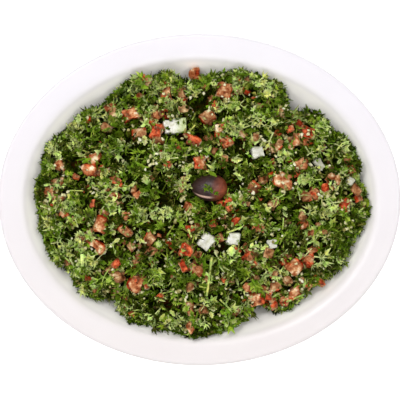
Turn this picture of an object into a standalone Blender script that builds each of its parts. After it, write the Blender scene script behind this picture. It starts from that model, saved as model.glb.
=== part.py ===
"""Tabbouleh salad heaped in its oval white dish, with an olive, onion and tomato pieces on top.

Metres, +Z up, +X along the dish's long axis. The origin is the middle of the dish's foot,
where it stands on the table. Run it with blender --background --python part.py.
"""

import math
import random

import bmesh
import bpy
from mathutils import Matrix, Vector, noise

# The dish: an oval of glazed ceramic with a wide rim.
DISH_HALF_LENGTH = 0.130
DISH_HALF_WIDTH = 0.1072
DISH_HEIGHT = 0.040
RIM_WIDTH = 0.015
RIM_THICKNESS = 0.0046
RIM_FALL = 0.0012  # the rim slopes down this much towards the well
WELL_CORNER = 0.0035  # length of the rounding where the rim turns down into the well
WALL_RUN = 0.058  # the wall reaches the flat floor this far inside the well's edge
WALL_CURVE = 2.0  # above 1, the wall is steep at the top and flattens towards the floor
WALL_THICKNESS = 0.0045
FOOT_HEIGHT = 0.003
FOOT_INSET = 0.060
FOOT_WIDTH = 0.006
FOOT_TAPER = 0.001
FLOOR_THICKNESS = 0.004

# The salad: a heap that fills the well and rises above the rim.
WALL_GAP = 0.0005  # upright clearance between the heap and the dish
HEAP_TOP = 0.053
HEAP_DOME = 2.4  # above 2, the heap is flatter in the middle and steeper at its edge
DOME_FOOT = 0.0030  # the dome would meet a plain edge this far below the well's edge
EDGE_GAP = 0.005  # the heap's edge lies this far inside the well's edge, apart from the bays
EDGE_LIP = 0.0028
EDGE_SLUMP = 11  # the higher, the nearer its edge the heap falls away into a bay
RAGGED_EDGE = 0.0016
RAGGED_BENDS = 7  # the higher, the shorter the bends of the ragged edge
LUMP_HEIGHT = 0.0036
LUMP_SIZE = 0.017
SLOPE_REACH = 0.004  # a piece leans with the heap's slope over this reach

# Where the heap's edge draws back from the wall, or leans on it: bearing from +X towards +Y
# in degrees, depth, half-width in degrees.
BAYS = (
    (45, 0.0090, 6),
    (90, 0.0055, 8),
    (111, -0.0017, 6),
    (135, 0.0060, 6),
    (150, 0.0040, 5),
    (188, 0.0045, 9),
    (229, 0.0070, 5),
    (240, -0.0025, 3),
    (270, -0.0028, 11),
    (294, 0.0065, 8),
    (318, 0.0035, 13),
    (342, 0.0040, 5),
)

# Pieces seated in the top of the heap.
SEAT_GAP = 0.0003
PIECE_PROUD = 0.0030  # a piece's top stands this far above the heap
PIECE_UNEVEN = 0.14  # the corners of a cut piece stray by this share of its size
PIECE_BEVEL = 0.12  # share of a piece's smallest side

ONION_SEED = 100
TOMATO_SEED = 200

OLIVE_PLACE = (0.0062, 0.0073)
OLIVE_LENGTH = 0.023
OLIVE_WIDTH = 0.0175
OLIVE_TURN = 4  # degrees
OLIVE_BLUNT = 0.10  # how much fatter the olive is towards one end
OLIVE_PROUD = 0.0075

# x, y, length, width, thickness, turn in degrees
ONIONS = (
    (-0.0156, 0.0470, 0.0160, 0.0094, 0.0060, 8),
    (0.0370, 0.0299, 0.0090, 0.0080, 0.0060, 12),
    (0.0042, -0.0268, 0.0108, 0.0092, 0.0065, 50),
    (0.0211, -0.0253, 0.0088, 0.0082, 0.0060, -8),
    (0.0464, -0.0288, 0.0070, 0.0066, 0.0050, 10),
    (0.0765, 0.0228, 0.0088, 0.0048, 0.0045, -52),
    (0.0962, 0.0109, 0.0056, 0.0046, 0.0040, 60),
)
TOMATOES = (
    (0.0156, 0.0694, 0.0110, 0.0095, 0.0070, 70),
    (0.0527, 0.0125, 0.0130, 0.0105, 0.0075, -12),
    (-0.0626, -0.0165, 0.0112, 0.0080, 0.0070, 75),
    (-0.0401, -0.0532, 0.0120, 0.0090, 0.0070, 65),
    (-0.0446, 0.0544, 0.0105, 0.0092, 0.0070, 20),
    (-0.0380, 0.0425, 0.0100, 0.0078, 0.0060, 10),
    (-0.0275, 0.0438, 0.0088, 0.0072, 0.0060, 80),
    (0.0000, 0.0234, 0.0082, 0.0078, 0.0060, 5),
    (0.0052, 0.0522, 0.0095, 0.0085, 0.0065, 40),
    (0.0702, 0.0422, 0.0100, 0.0084, 0.0060, -10),
    (0.0642, 0.0219, 0.0092, 0.0064, 0.0055, 12),
    (-0.0659, -0.0296, 0.0110, 0.0062, 0.0060, -38),
    (-0.0315, -0.0255, 0.0092, 0.0084, 0.0060, 50),
    (0.0606, -0.0436, 0.0092, 0.0082, 0.0060, 45),
    (0.0362, -0.0644, 0.0100, 0.0084, 0.0065, 15),
    (0.0610, -0.0597, 0.0094, 0.0078, 0.0060, 25),
    (0.0935, -0.0033, 0.0082, 0.0078, 0.0060, 70),
    (-0.0083, -0.0324, 0.0090, 0.0078, 0.0060, 75),
    (-0.0038, 0.0368, 0.0090, 0.0068, 0.0060, -20),
    (-0.0657, 0.0273, 0.0088, 0.0076, 0.0060, 30),
    (-0.0697, 0.0181, 0.0084, 0.0072, 0.0060, 10),
    (-0.0218, 0.0675, 0.0080, 0.0074, 0.0060, 15),
    (0.0172, 0.0370, 0.0080, 0.0074, 0.0060, 35),
    (0.0353, 0.0070, 0.0080, 0.0070, 0.0060, 60),
    (0.0733, 0.0038, 0.0076, 0.0068, 0.0055, -30),
    (0.0488, -0.0549, 0.0090, 0.0070, 0.0060, 20),
    (-0.0472, -0.0202, 0.0096, 0.0052, 0.0050, -45),
)

# Facets.
AROUND = 72
WALL_STEPS = 7
EDGE_STEPS = 4
HEAP_RINGS = 14
HEAP_BED_RINGS = 4
TOP_CROWDING = 0.8  # below 1, the rings crowd towards the edge
BED_CROWDING = 0.7
HALVINGS = 30  # steps of the search for a place's height on the wall
SHARP_ANGLE = 40  # degrees
OLIVE_AROUND = 14
OLIVE_STEPS = 9

WELL_HALF_LENGTH = DISH_HALF_LENGTH - RIM_WIDTH
WELL_HALF_WIDTH = DISH_HALF_WIDTH - RIM_WIDTH
WELL_TOP = DISH_HEIGHT - RIM_FALL
WELL_FLOOR = FOOT_HEIGHT + FLOOR_THICKNESS
HEAP_HALF_LENGTH = WELL_HALF_LENGTH - EDGE_GAP
HEAP_HALF_WIDTH = WELL_HALF_WIDTH - EDGE_GAP
PLAIN_EDGE = WELL_TOP - DOME_FOOT
TURNS = [2 * math.pi * step / AROUND for step in range(AROUND)]


def clear_scene():
    for thing in list(bpy.data.objects):
        bpy.data.objects.remove(thing)


def finish_of(name, colour, roughness):
    finish = bpy.data.materials.new(name)
    finish.use_nodes = True
    shader = finish.node_tree.nodes["Principled BSDF"]
    shader.inputs["Base Color"].default_value = (*colour, 1)
    shader.inputs["Roughness"].default_value = roughness
    return finish


def add_object(name, shape, finish=None):
    """A named object of a bmesh, which is freed. With no finish it is a cutter."""
    bmesh.ops.recalc_face_normals(shape, faces=shape.faces)
    mesh = bpy.data.meshes.new(name)
    shape.to_mesh(mesh)
    shape.free()
    thing = bpy.data.objects.new(name, mesh)
    bpy.context.scene.collection.objects.link(thing)
    if finish:
        mesh.materials.append(finish)
        mesh.shade_smooth()
        mesh.set_sharp_from_angle(angle=math.radians(SHARP_ANGLE))
    else:
        thing.hide_render = True
        thing.display_type = "WIRE"
    return thing


def loft(rings, start, end):
    """A closed solid through rings of equal point count, each end fanned to its middle point."""
    shape = bmesh.new()
    loops = [[shape.verts.new(point) for point in ring] for ring in rings]
    count = len(loops[0])
    for lower, upper in zip(loops, loops[1:]):
        for i in range(count):
            j = (i + 1) % count
            shape.faces.new((lower[i], lower[j], upper[j], upper[i]))
    for loop, middle in ((loops[0], start), (loops[-1], end)):
        tip = shape.verts.new(middle)
        for i in range(count):
            shape.faces.new((loop[i], loop[(i + 1) % count], tip))
    return shape


# The dish


def well_drop(inset):
    """How far the wall has come down this far inside the well's edge."""
    share = min(inset / WALL_RUN, 1)
    return (WELL_TOP - WELL_FLOOR) * (1 - (1 - share) ** WALL_CURVE)


def well_slope(inset):
    """The wall's angle from level, in radians."""
    share = min(inset / WALL_RUN, 1)
    steepness = WALL_CURVE * (WELL_TOP - WELL_FLOOR) / WALL_RUN * (1 - share) ** (WALL_CURVE - 1)
    return math.atan(steepness)


def inner_wall(steps):
    """The wall's face towards the food, as insets from the dish's outer edge and heights."""
    first = WELL_CORNER / 2
    insets = [first + (WALL_RUN - first) * step / steps for step in range(steps + 1)]
    return [(RIM_WIDTH + inset, WELL_TOP - well_drop(inset)) for inset in insets]


def outer_wall(steps):
    """The wall's outer face, one thickness away from the inner one."""
    lowest = FOOT_INSET - RIM_WIDTH
    points = []
    for step in range(steps + 1):
        inset = WELL_CORNER + (lowest - WELL_CORNER) * step / steps
        slope = well_slope(inset)
        outward = inset - WALL_THICKNESS * math.sin(slope)
        height = WELL_TOP - well_drop(inset) - WALL_THICKNESS * math.cos(slope)
        points.append((RIM_WIDTH + outward, height))
    return points


def rim_edge(steps):
    """The rim's rounded outer edge, from its underside to its top."""
    radius = RIM_THICKNESS / 2
    points = []
    for step in range(steps + 1):
        turn = math.pi * (step / steps - 0.5)
        points.append((radius - radius * math.cos(turn), DISH_HEIGHT - radius + radius * math.sin(turn)))
    return points


def dish_profile():
    """Insets from the outer edge and heights, from under the foot round the rim to the floor."""
    foot_inside = FOOT_INSET + FOOT_WIDTH
    foot = [
        (foot_inside + FOOT_TAPER, FOOT_HEIGHT),
        (foot_inside, 0),
        (FOOT_INSET + FOOT_TAPER, 0),
    ]
    outside = outer_wall(WALL_STEPS)
    inside = inner_wall(WALL_STEPS)
    under_rim = (outside[0][0] - WELL_CORNER, DISH_HEIGHT - RIM_THICKNESS)
    rim_top = (RIM_WIDTH - WELL_CORNER, WELL_TOP + RIM_FALL * WELL_CORNER / RIM_WIDTH)
    corner = (RIM_WIDTH, WELL_TOP)
    rounding = [(a + 2 * b + c) / 4 for a, b, c in zip(rim_top, corner, inside[0])]
    return foot + outside[::-1] + [under_rim] + rim_edge(EDGE_STEPS) + [rim_top, rounding] + inside


def make_dish():
    rings = []
    for inset, height in dish_profile():
        across = DISH_HALF_LENGTH - inset
        deep = DISH_HALF_WIDTH - inset
        rings.append([(across * math.cos(turn), deep * math.sin(turn), height) for turn in TURNS])
    shape = loft(rings, (0, 0, FOOT_HEIGHT), (0, 0, WELL_FLOOR))
    return add_object("dish", shape, finish_of("white_glaze", (0.86, 0.84, 0.84), 0.18))


def well_height(x, y):
    """Height of the well's face at a place: finds the oval that passes through it."""
    near, far = 0.0, WALL_RUN
    for _ in range(HALVINGS):
        inset = (near + far) / 2
        reach = math.hypot(x / (WELL_HALF_LENGTH - inset), y / (WELL_HALF_WIDTH - inset))
        if reach < 1:
            near = inset
        else:
            far = inset
    return WELL_TOP - well_drop(near)


# The salad


def edge_scale(turn):
    """The heap's edge at this turn of its oval, as a share of the plain oval."""
    x = HEAP_HALF_LENGTH * math.cos(turn)
    y = HEAP_HALF_WIDTH * math.sin(turn)
    bearing = math.degrees(math.atan2(y, x))
    depth = RAGGED_EDGE * noise.noise(Vector((math.cos(turn), math.sin(turn), 0)) * RAGGED_BENDS)
    for middle, bay, half_width in BAYS:
        away = (bearing - middle + 180) % 360 - 180
        depth += bay * math.exp(-((away / half_width) ** 2))
    return 1 - depth / math.hypot(x, y)


def heap_point(turn, share):
    """The place at a share of the way from the heap's middle to its edge."""
    reach = share * edge_scale(turn)
    return reach * HEAP_HALF_LENGTH * math.cos(turn), reach * HEAP_HALF_WIDTH * math.sin(turn)


def heap_height(x, y):
    """Height of the heap's top at a place: a lumpy dome that slumps to the wall at its edge."""
    turn = math.atan2(y / HEAP_HALF_WIDTH, x / HEAP_HALF_LENGTH)
    reach = math.hypot(x / HEAP_HALF_LENGTH, y / HEAP_HALF_WIDTH)
    edge = well_height(*heap_point(turn, 1)) + EDGE_LIP
    dome = PLAIN_EDGE + (HEAP_TOP - PLAIN_EDGE) * (1 - reach**HEAP_DOME)
    dome += LUMP_HEIGHT * noise.noise(Vector((x / LUMP_SIZE, y / LUMP_SIZE, 0)))
    return edge + (dome - edge) * (1 - (reach / edge_scale(turn)) ** EDGE_SLUMP)


def heap_normal(x, y):
    along = heap_height(x + SLOPE_REACH, y) - heap_height(x - SLOPE_REACH, y)
    across = heap_height(x, y + SLOPE_REACH) - heap_height(x, y - SLOPE_REACH)
    return Vector((-along, -across, 2 * SLOPE_REACH)).normalized()


def make_salad():
    """The heap, lofted from its middle on the floor out to its edge and back over its top."""
    rings = []
    for ring in range(1, HEAP_BED_RINGS + 1):
        share = (ring / HEAP_BED_RINGS) ** BED_CROWDING
        points = [heap_point(turn, share) for turn in TURNS]
        rings.append([(x, y, well_height(x, y) + WALL_GAP) for x, y in points])
    for ring in range(HEAP_RINGS, 0, -1):
        share = (ring / HEAP_RINGS) ** TOP_CROWDING
        points = [heap_point(turn, share) for turn in TURNS]
        rings.append([(x, y, heap_height(x, y)) for x, y in points])
    shape = loft(rings, (0, 0, WELL_FLOOR + WALL_GAP), (0, 0, heap_height(0, 0)))
    return add_object("salad", shape, finish_of("parsley", (0.10, 0.16, 0.04), 0.6))


def seat(salad, cutter):
    """Cuts the hollow that a piece lies in."""
    cut = salad.modifiers.new(cutter.name, "BOOLEAN")
    cut.operation = "DIFFERENCE"
    cut.solver = "EXACT"
    cut.object = cutter


# What lies in its top


def seated(x, y, turn, proud, thickness):
    """The frame of a piece that follows the heap's slope and stands proud of it."""
    normal = heap_normal(x, y)
    lean = Vector((0, 0, 1)).rotation_difference(normal).to_matrix().to_4x4()
    centre = Vector((x, y, heap_height(x, y))) + normal * (proud - thickness / 2)
    return Matrix.Translation(centre) @ lean @ Matrix.Rotation(math.radians(turn), 4, "Z")


def cut_piece(length, width, thickness, seed, grow, bevel):
    """A block with uneven corners. grow moves each face out, which makes a piece's seat."""
    shape = bmesh.new()
    bmesh.ops.create_cube(shape, size=1)
    stray = random.Random(seed)
    for corner in shape.verts:
        shares = [1 - PIECE_UNEVEN * stray.random() for _ in range(3)]
        for axis, size in enumerate((length, width, thickness)):
            corner.co[axis] *= size * shares[axis] + 2 * grow
    if bevel:
        bmesh.ops.bevel(
            shape,
            geom=shape.edges[:],
            offset=PIECE_BEVEL * min(length, width, thickness),
            segments=1,
            affect="EDGES",
        )
    bmesh.ops.triangulate(shape, faces=shape.faces[:])
    return shape


def make_cut_pieces(salad, stem, places, seed, finish):
    for number, (x, y, length, width, thickness, turn) in enumerate(places, 1):
        frame = seated(x, y, turn, PIECE_PROUD, thickness)
        name = f"{stem}_{number:02d}"
        body = cut_piece(length, width, thickness, seed + number, 0, True)
        hollow = cut_piece(length, width, thickness, seed + number, SEAT_GAP, False)
        piece = add_object(name, body, finish)
        cutter = add_object(f"seat_of_{name}", hollow)
        piece.matrix_world = frame
        cutter.matrix_world = frame
        seat(salad, cutter)


def olive_shape(grow):
    """Turned about its long axis, fatter towards +X."""
    rings = []
    for step in range(1, OLIVE_STEPS):
        along = -math.cos(math.pi * step / OLIVE_STEPS)
        radius = math.sqrt(1 - along**2) * (1 + OLIVE_BLUNT * along) * OLIVE_WIDTH / 2 + grow
        spread = [2 * math.pi * i / OLIVE_AROUND for i in range(OLIVE_AROUND)]
        at = along * (OLIVE_LENGTH / 2 + grow)
        rings.append([(at, radius * math.cos(a), radius * math.sin(a)) for a in spread])
    tip = OLIVE_LENGTH / 2 + grow
    return loft(rings, (-tip, 0, 0), (tip, 0, 0))


def make_olive(salad):
    frame = seated(*OLIVE_PLACE, OLIVE_TURN, OLIVE_PROUD, OLIVE_WIDTH)
    olive = add_object("olive", olive_shape(0), finish_of("olive_skin", (0.05, 0.02, 0.02), 0.25))
    cutter = add_object("seat_of_olive", olive_shape(SEAT_GAP))
    olive.matrix_world = frame
    cutter.matrix_world = frame
    seat(salad, cutter)


clear_scene()
make_dish()
salad = make_salad()
make_olive(salad)
make_cut_pieces(salad, "onion", ONIONS, ONION_SEED, finish_of("onion_flesh", (0.75, 0.78, 0.62), 0.3))
make_cut_pieces(salad, "tomato", TOMATOES, TOMATO_SEED, finish_of("tomato_flesh", (0.55, 0.13, 0.05), 0.3))
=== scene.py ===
"""The looks of the tabbouleh salad: a glazed oval dish and a heap of chopped parsley, bulgur,
tomato and onion with an olive on top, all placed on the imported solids."""

import math

import bmesh
import bpy
import numpy as np
from mathutils import Matrix, Vector, noise
from mathutils.bvhtree import BVHTree


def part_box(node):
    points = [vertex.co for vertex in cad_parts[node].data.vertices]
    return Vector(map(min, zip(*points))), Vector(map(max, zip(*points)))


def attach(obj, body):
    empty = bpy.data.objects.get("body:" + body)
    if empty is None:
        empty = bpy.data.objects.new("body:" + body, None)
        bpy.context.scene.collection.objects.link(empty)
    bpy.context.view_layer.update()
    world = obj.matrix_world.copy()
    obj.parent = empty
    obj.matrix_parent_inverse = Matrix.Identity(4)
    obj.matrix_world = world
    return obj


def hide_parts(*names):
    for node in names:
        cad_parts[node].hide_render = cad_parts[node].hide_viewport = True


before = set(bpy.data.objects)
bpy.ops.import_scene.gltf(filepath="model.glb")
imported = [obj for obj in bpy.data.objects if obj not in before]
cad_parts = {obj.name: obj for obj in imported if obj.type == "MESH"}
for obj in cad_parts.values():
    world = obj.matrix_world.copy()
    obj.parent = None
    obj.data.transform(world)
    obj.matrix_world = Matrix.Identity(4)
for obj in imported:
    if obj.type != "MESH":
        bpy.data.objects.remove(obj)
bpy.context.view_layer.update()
rng = np.random.default_rng(11)
UP = Vector((0, 0, 1))

# ---- sizes, in metres

_, DISH_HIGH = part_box("dish")
DISH_HALF_LENGTH = DISH_HIGH.x
DISH_HALF_WIDTH = DISH_HIGH.y
DISH_HEIGHT = DISH_HIGH.z
RIM_WIDTH = 0.015
RIM_THICKNESS = 0.0046
RIM_FALL = 0.0012
WELL_CORNER = 0.0045
WALL_RUN = 0.058
WALL_CURVE = 2.0
WALL_THICKNESS = 0.0045
FOOT_HEIGHT = 0.003
FOOT_INSET = 0.060
FOOT_WIDTH = 0.006
FLOOR_THICKNESS = 0.004
WELL_TOP = DISH_HEIGHT - RIM_FALL
WELL_FLOOR = FOOT_HEIGHT + FLOOR_THICKNESS

CORE_DEPTH = 0.0046  # the dark core lies this far under the heap's surface
CORE_INSET = 0.0034  # and ends this far inside its outline
CORE_RELIEF = 0.0010
CLUMP_SIZE = 0.0072  # the heap's loose surface rises and sinks in clumps of this size
CLUMP_RISE = 0.0030

# ---- node materials


class Finish:
    """A Principled material, with short helpers that add the nodes feeding it."""

    def __init__(self, name, roughness=0.5, **sockets):
        self.material = bpy.data.materials.new(name)
        self.material.use_nodes = True
        self.tree = self.material.node_tree
        self.shader = self.tree.nodes["Principled BSDF"]
        self.shader.inputs["Roughness"].default_value = roughness
        for socket, value in sockets.items():
            self.shader.inputs[socket.replace("_", " ")].default_value = value

    def add(self, kind, links=(), **settings):
        node = self.tree.nodes.new(kind)
        for name, value in settings.items():
            setattr(node, name, value)
        for socket, source in links:
            if isinstance(source, (int, float, tuple)):
                node.inputs[socket].default_value = source
            else:
                self.tree.links.new(source, node.inputs[socket])
        return node

    def feed(self, socket, source):
        self.tree.links.new(source, self.shader.inputs[socket])

    def colour(self, source):
        self.feed("Base Color", source)

    def place(self):
        return self.add("ShaderNodeTexCoord").outputs["Object"]

    def noise(self, scale, detail=3.0, roughness=0.55):
        links = [("Vector", self.place()), ("Scale", scale), ("Detail", detail), ("Roughness", roughness)]
        return self.add("ShaderNodeTexNoise", links).outputs["Fac"]

    def attribute(self, name):
        return self.add("ShaderNodeAttribute", attribute_name=name).outputs["Fac"]

    def axis(self, letter):
        return self.add("ShaderNodeSeparateXYZ", [("Vector", self.place())]).outputs[letter]

    def grey(self, value):
        return self.add("ShaderNodeCombineColor", [(0, value), (1, value), (2, value)]).outputs[0]

    def remap(self, source, low, high, new_low, new_high):
        links = [("Value", source), ("From Min", low), ("From Max", high)]
        links += [("To Min", new_low), ("To Max", new_high)]
        return self.add("ShaderNodeMapRange", links).outputs["Result"]

    def ramp(self, source, *stops):
        node = self.add("ShaderNodeValToRGB", [("Fac", source)])
        elements = node.color_ramp.elements
        while len(elements) < len(stops):
            elements.new(0.5)
        for element, (position, colour) in zip(elements, stops):
            element.position = position
            element.color = (*colour, 1)
        return node.outputs["Color"]

    def mix(self, share, first, second, blend="MIX"):
        first, second = [(*c, 1) if isinstance(c, tuple) else c for c in (first, second)]
        links = [(0, share), (6, first), (7, second)]
        return self.add("ShaderNodeMix", links, data_type="RGBA", blend_type=blend).outputs[2]

    def sum(self, first, second, operation="ADD"):
        return self.add("ShaderNodeMath", [(0, first), (1, second)], operation=operation).outputs[0]

    def patchy_gloss(self, scale, low, high):
        """Roughness that drifts between two values in patches."""
        self.feed("Roughness", self.remap(self.noise(scale), 0.3, 0.7, low, high))

    def grainy(self, scale, detail, height):
        """Fine relief of this height."""
        links = [("Height", self.noise(scale, detail)), ("Distance", height), ("Strength", 1.0)]
        self.feed("Normal", self.add("ShaderNodeBump", links).outputs["Normal"])


def glaze_finish():
    """White glaze with faint mottling; painted light and shade make it bluer and lighter towards the back and
    warmer and darker towards the front, and paint the dish paler and warmer below the rim's inner edge.
    """
    finish = Finish("white_glaze", 0.35)
    mottle = finish.noise(35)
    painted_lit_back = finish.ramp(mottle, (0.3, (0.795, 0.765, 0.808)), (0.7, (0.808, 0.780, 0.822)))
    painted_shaded_front = finish.ramp(mottle, (0.3, (0.765, 0.716, 0.718)), (0.7, (0.778, 0.730, 0.730)))
    # Painted shade: the rim's colour runs from a lighter, bluer back to a darker, warmer front.
    rim = finish.mix(finish.remap(finish.axis("Y"), -0.09, 0.07, 0, 1), painted_shaded_front, painted_lit_back)
    # Painted light: below the rim's inner edge the dish is painted paler and warmer than the rim.
    well_painted_light = finish.remap(finish.axis("Z"), WELL_TOP - 0.004, WELL_TOP, 1, 0)
    finish.colour(finish.mix(well_painted_light, rim, (0.960, 0.925, 0.885)))
    finish.patchy_gloss(120, 0.3, 0.42)
    finish.grainy(60, 2, 0.00005)
    return finish.material


MOIST_TINT = (1.0, 0.90, 0.20, 1.0)  # the dressing's oil warms the glints


def core_finish():
    """Green-black shade between the leaves, with patches stained by tomato."""
    finish = Finish("packed_parsley", 0.7, Specular_IOR_Level=0.1, Specular_Tint=MOIST_TINT)
    grain = finish.noise(420, 4)
    shade = finish.ramp(
        grain,
        (0.30, (0.004, 0.0058, 0.0002)),
        (0.55, (0.012, 0.017, 0.0006)),
        (0.75, (0.032, 0.043, 0.0020)),
    )
    stain = finish.ramp(
        grain,
        (0.30, (0.012, 0.0035, 0.0004)),
        (0.55, (0.045, 0.010, 0.0020)),
        (0.75, (0.120, 0.035, 0.008)),
    )
    finish.colour(finish.mix(finish.remap(finish.noise(170, 3), 0.52, 0.60, 0, 1), shade, stain))
    finish.grainy(700, 3, 0.0006)
    return finish.material


# A leaf's colour, and the painted highlight on its margin, by the tone that each bit has from 0 to 1.
LEAF_STOPS = (
    (0.0, (0.0075, 0.0100, 0.0002)),
    (0.3, (0.0200, 0.0390, 0.0005)),
    (0.6, (0.0600, 0.1240, 0.0030)),
    (0.85, (0.185, 0.305, 0.0120)),
    (1.0, (0.460, 0.560, 0.1300)),
)
MARGIN_HIGHLIGHT_STOPS = (
    (0.0, (0.03, 0.06, 0.001)),
    (0.6, (0.135, 0.24, 0.010)),
    (0.85, (0.28, 0.43, 0.050)),
    (1.0, (0.62, 0.68, 0.32)),
)
STALK_STOPS = (
    (0.0, (0.08, 0.14, 0.010)),
    (0.5, (0.26, 0.38, 0.045)),
    (1.0, (0.56, 0.64, 0.20)),
)
# Leaves drift from bluer to yellower green over the heap.
DRIFT_STOPS = (
    (0.40, (0.82, 1.03, 1.0)),
    (0.50, (0.96, 1.0, 1.0)),
    (0.62, (1.18, 0.96, 0.95)),
)


def leaf_finish(name, gloss, edge, stops=LEAF_STOPS):
    """Moist leaf: a colour for each bit from its tone, made paler by a share towards its frilled margin as a
    painted highlight.
    """
    finish = Finish(name, 0.4, Specular_IOR_Level=gloss, Specular_Tint=MOIST_TINT)
    tone = finish.ramp(finish.attribute("tone"), *stops)
    # Noise patches darken and lighten each bit: partly its own mottle, partly painted light and shade.
    patch = finish.grey(finish.remap(finish.noise(260, 2, 0.45), 0.32, 0.68, 0.45, 1.5))
    shaded = finish.mix(1.0, tone, patch, "MULTIPLY")
    shaded = finish.mix(1.0, shaded, finish.ramp(finish.noise(150, 2), *DRIFT_STOPS), "MULTIPLY")
    # Painted highlight: the margin's colour, mixed in by the margin value times edge.
    margin = finish.sum(finish.attribute("margin"), edge, "MULTIPLY")
    margin_highlight = finish.ramp(finish.attribute("tone"), *MARGIN_HIGHLIGHT_STOPS)
    finish.colour(finish.mix(margin, shaded, margin_highlight))
    finish.patchy_gloss(500, 0.15, 0.4)
    finish.grainy(800, 2, 0.0002)
    return finish.material


def grain_finish():
    finish = Finish("bulgur", 0.42, Specular_Tint=MOIST_TINT)
    tone = finish.ramp(
        finish.attribute("tone"),
        (0.0, (0.20, 0.16, 0.04)),
        (0.4, (0.48, 0.45, 0.18)),
        (0.8, (0.76, 0.73, 0.44)),
        # The last stop, near-white, is painted highlight on the lightest grains.
        (1.0, (0.92, 0.90, 0.70)),
    )
    speckle = finish.remap(finish.noise(1500), 0.4, 0.7, 0, 0.35)
    finish.colour(finish.mix(speckle, tone, (0.42, 0.38, 0.13)))
    finish.grainy(2500, 2, 0.0002)
    return finish.material


def tomato_finish():
    """Wet flesh from brown to salmon by its tone, with cream patches that are partly pith and partly painted
    highlight, that turns to red skin on one side.
    """
    finish = Finish("tomato", 0.26, Specular_Tint=(1.0, 0.90, 0.45, 1.0))
    blotch = finish.noise(210, 4, 0.6)
    salmon = finish.ramp(
        blotch,
        (0.36, (0.13, 0.014, 0.003)),
        (0.44, (0.37, 0.070, 0.019)),
        (0.52, (0.58, 0.210, 0.085)),
        # The two palest stops are partly cream pith and partly painted highlight.
        (0.59, (0.80, 0.47, 0.25)),
        (0.67, (0.94, 0.81, 0.58)),
    )
    brown = finish.ramp(
        blotch,
        (0.34, (0.050, 0.015, 0.005)),
        (0.47, (0.17, 0.060, 0.020)),
        (0.58, (0.38, 0.195, 0.080)),
        (0.70, (0.70, 0.52, 0.30)),
    )
    flesh = finish.mix(finish.attribute("tone"), brown, salmon)
    skin = finish.ramp(
        finish.noise(300, 3),
        (0.36, (0.11, 0.007, 0.0015)),
        (0.50, (0.42, 0.028, 0.005)),
        (0.66, (0.80, 0.16, 0.055)),
    )
    edge = finish.sum(finish.remap(finish.noise(420, 2), 0.35, 0.65, -0.35, 0.35), finish.attribute("skin"))
    finish.colour(finish.mix(finish.remap(edge, 0.35, 0.65, 0, 1), flesh, skin))
    finish.patchy_gloss(800, 0.16, 0.42)
    finish.grainy(600, 3, 0.0003)
    return finish.material


def onion_finish():
    """Translucent white, striped by its layers, green at one end of some pieces, darkened by painted shade on
    the dimmer pieces.
    """
    finish = Finish("onion", 0.3)
    layers = finish.ramp(
        finish.noise(300, 3), (0.3, (0.52, 0.50, 0.36)), (0.5, (0.76, 0.74, 0.66)), (0.75, (0.90, 0.88, 0.86))
    )
    green = finish.ramp(finish.noise(350), (0.3, (0.34, 0.46, 0.10)), (0.7, (0.60, 0.68, 0.30)))
    clean = finish.mix(finish.attribute("green"), layers, green)
    # Painted shade: a low tone mixes the piece towards a dark olive grey.
    finish.colour(finish.mix(finish.attribute("tone"), (0.24, 0.24, 0.11), clean))
    finish.patchy_gloss(700, 0.16, 0.34)
    finish.grainy(600, 2, 0.00025)
    return finish.material


def olive_finish():
    """Oily purple-black skin that turns red-brown at one end, darker on its far side by painted shade, with a
    pink cut lip.
    """
    finish = Finish("olive_skin", 0.36)
    mottle = finish.noise(260, 4)
    dark = finish.ramp(mottle, (0.3, (0.017, 0.006, 0.005)), (0.7, (0.046, 0.018, 0.016)))
    brown = finish.ramp(mottle, (0.3, (0.13, 0.024, 0.010)), (0.7, (0.33, 0.072, 0.026)))
    # The share of purple-black comes from the skin's change along the olive and from painted shade on its far
    # side.
    body = finish.mix(finish.attribute("purple_and_shade"), brown, dark)
    finish.colour(finish.mix(finish.attribute("cut"), body, (0.86, 0.56, 0.44)))
    finish.patchy_gloss(500, 0.32, 0.5)
    finish.grainy(700, 3, 0.00018)
    return finish.material


# ---- meshes


def placed(name, data, place=(0, 0, 0), back=None):
    """A new object in the scene. Where back is given, the object looks the other way."""
    thing = bpy.data.objects.new(name, data)
    thing.location = place
    if back is not None:
        thing.rotation_mode = "QUATERNION"
        thing.rotation_quaternion = (-back).to_track_quat("-Z", "Y")
    bpy.context.scene.collection.objects.link(thing)
    return thing


SHARP_ANGLE = 55  # degrees: edges sharper than this stay sharp


def mesh_piece(name, points, triangles, material, shades=None, cells=None):
    """A piece of triangles. shades gives float attributes, cells the bake map's place for each point."""
    mesh = bpy.data.meshes.new(name)
    count = len(triangles)
    mesh.vertices.add(len(points))
    mesh.vertices.foreach_set("co", np.asarray(points, np.float32).ravel())
    mesh.loops.add(3 * count)
    mesh.loops.foreach_set("vertex_index", np.asarray(triangles, np.int32).ravel())
    mesh.polygons.add(count)
    mesh.polygons.foreach_set("loop_start", np.arange(0, 3 * count, 3, dtype=np.int32))
    mesh.update(calc_edges=True)
    for shade, values in (shades or {}).items():
        mesh.attributes.new(shade, "FLOAT", "POINT").data.foreach_set("value", np.asarray(values, np.float32))
    if cells is not None:
        corners = np.asarray(cells, np.float32)[np.asarray(triangles).ravel()]
        mesh.uv_layers.new(name="OFBake").data.foreach_set("uv", corners.ravel())
    mesh.shade_smooth()
    mesh.set_sharp_from_angle(angle=math.radians(SHARP_ANGLE))
    mesh.materials.append(material)
    piece = placed(name, mesh)
    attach(piece, "root")
    return piece


def spin_frames(normals, spread):
    """A turned frame for each normal: rows are its axes, the last one near the normal."""
    count = len(normals)
    facing = normals + spread * rng.normal(size=(count, 3))
    facing /= np.linalg.norm(facing, axis=1)[:, None]
    side = rng.normal(size=(count, 3))
    side -= (side * facing).sum(1)[:, None] * facing
    side /= np.linalg.norm(side, axis=1)[:, None]
    return np.stack([side, np.cross(facing, side), facing], axis=1)


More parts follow.
